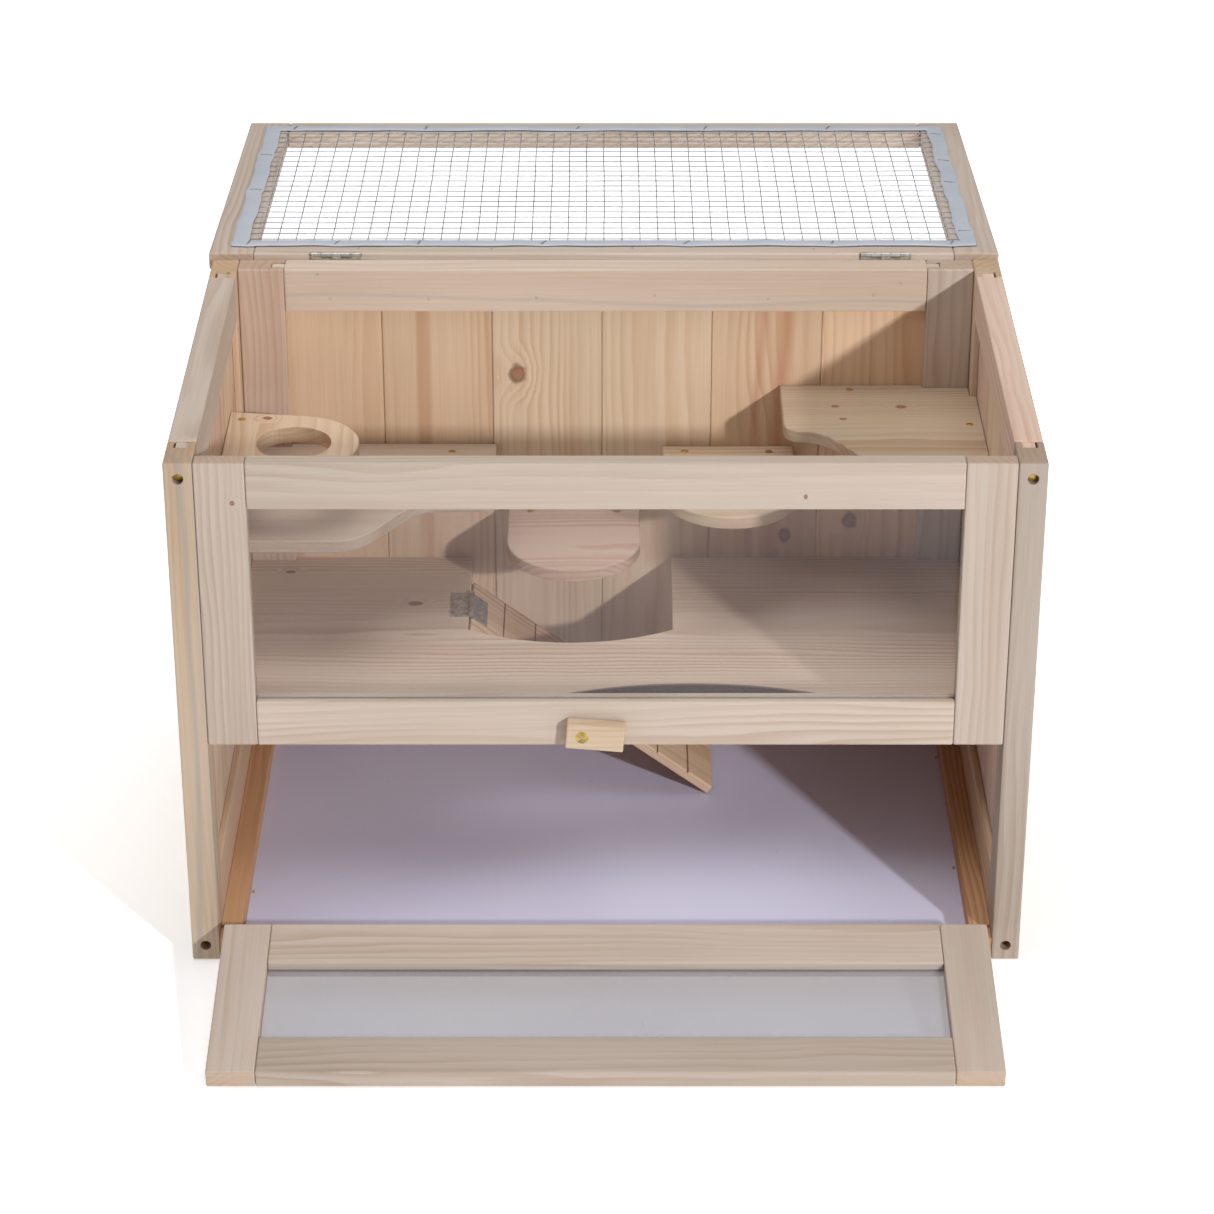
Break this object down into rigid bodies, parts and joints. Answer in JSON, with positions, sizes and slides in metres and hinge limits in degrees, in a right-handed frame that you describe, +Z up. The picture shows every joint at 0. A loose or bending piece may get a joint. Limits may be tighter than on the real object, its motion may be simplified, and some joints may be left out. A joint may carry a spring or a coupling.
{
  "type": "small animal cage",
  "caption": "Box-shaped pine cage for small animals with a hinged wire lid, a drop-down glazed front door, a fixed front window, and a platform, ramp and shelves inside.",
  "frame": {"origin": "centre of the box's footprint, on the surface that it stands on, at the underside of its floor", "axes": "+Z up, +Y towards the back of the cage, +X towards the right-hand end seen from the front"},
  "size_m": [0.604, 0.887, 0.4042],
  "materials": {
    "pine": "planed, unfinished",
    "pine_planks": "planed, unfinished tongue-and-groove boards",
    "clear_acrylic": "clear polished sheet",
    "door_acrylic": "clear sheet with a milky haze",
    "galvanised_wire": "galvanised welded wire",
    "white_edging": "soft white edging tape",
    "zinc_steel": "zinc plated",
    "white_board": "white-faced hardboard, satin"
  },
  "bodies": {
    "cage": {"left_stile_front": "pine", "left_stile_back": "pine", "left_rail_top": "pine", "left_rail_bottom": "pine", "left_plank_1": "pine_planks", "left_plank_2": "pine_planks", "left_plank_3": "pine_planks", "right_stile_front": "pine", "right_stile_back": "pine", "right_rail_top": "pine", "right_rail_bottom": "pine", "right_plank_1": "pine_planks", "right_plank_2": "pine_planks", "right_plank_3": "pine_planks", "back_stile_left": "pine", "back_stile_right": "pine", "back_rail_top": "pine", "back_rail_bottom": "pine", "back_plank_1": "pine_planks", "back_plank_2": "pine_planks", "back_plank_3": "pine_planks", "back_plank_4": "pine_planks", "back_plank_5": "pine_planks", "back_plank_6": "pine_planks", "window_stile_left": "pine", "window_stile_right": "pine", "window_rail_bottom": "pine", "window_rail_top": "pine", "window_pane": "clear_acrylic", "floor_board": "white_board", "floor_frame": "pine", "platform": "pine", "shelf_lower_left": "pine", "shelf_upper_right": "pine", "shelf_ring": "pine", "shelf_half_round_low": "pine", "shelf_half_round_high": "pine", "lid_hinge_left_base": "zinc_steel", "lid_hinge_right_base": "zinc_steel", "door_hinge_left_base": "zinc_steel", "door_hinge_right_base": "zinc_steel", "ramp_hinge_base": "zinc_steel"},
    "lid": {"lid_stile_left": "pine", "lid_stile_right": "pine", "lid_rail_front": "pine", "lid_rail_back": "pine", "lid_wire_mesh": "galvanised_wire", "lid_edging": "white_edging", "lid_hinge_left_leaf": "zinc_steel", "lid_hinge_right_leaf": "zinc_steel"},
    "door": {"door_stile_left": "pine", "door_stile_right": "pine", "door_rail_bottom": "pine", "door_rail_top": "pine", "door_pane": "door_acrylic", "door_hinge_left_leaf": "zinc_steel", "door_hinge_right_leaf": "zinc_steel"},
    "ramp": {"ramp_board": "pine", "ramp_hinge_leaf": "zinc_steel"},
    "latch": {"latch": "pine"}
  },
  "joints": [
    {"name": "lid_hinge", "type": "hinge", "parent": "cage", "child": "lid", "pos_m": [0, 0.18245, 0.40225], "axis": [1, 0, 0], "range_deg": [0, 184.3]},
    {"name": "door_hinge", "type": "hinge", "parent": "cage", "child": "door", "pos_m": [0, -0.1832, 0.019], "axis": [-1, 0, 0], "range_deg": [0, 97.6]},
    {"name": "ramp_hinge", "type": "hinge", "parent": "cage", "child": "ramp", "pos_m": [-0.1034, 0.083, 0.15345], "axis": [0, -1, 0], "range_deg": [0, 32]},
    {"name": "latch_turn", "type": "hinge", "parent": "cage", "child": "latch", "pos_m": [-0.0166, -0.1868, 0.192], "axis": [0, -1, 0], "continuous": true}
  ]
}
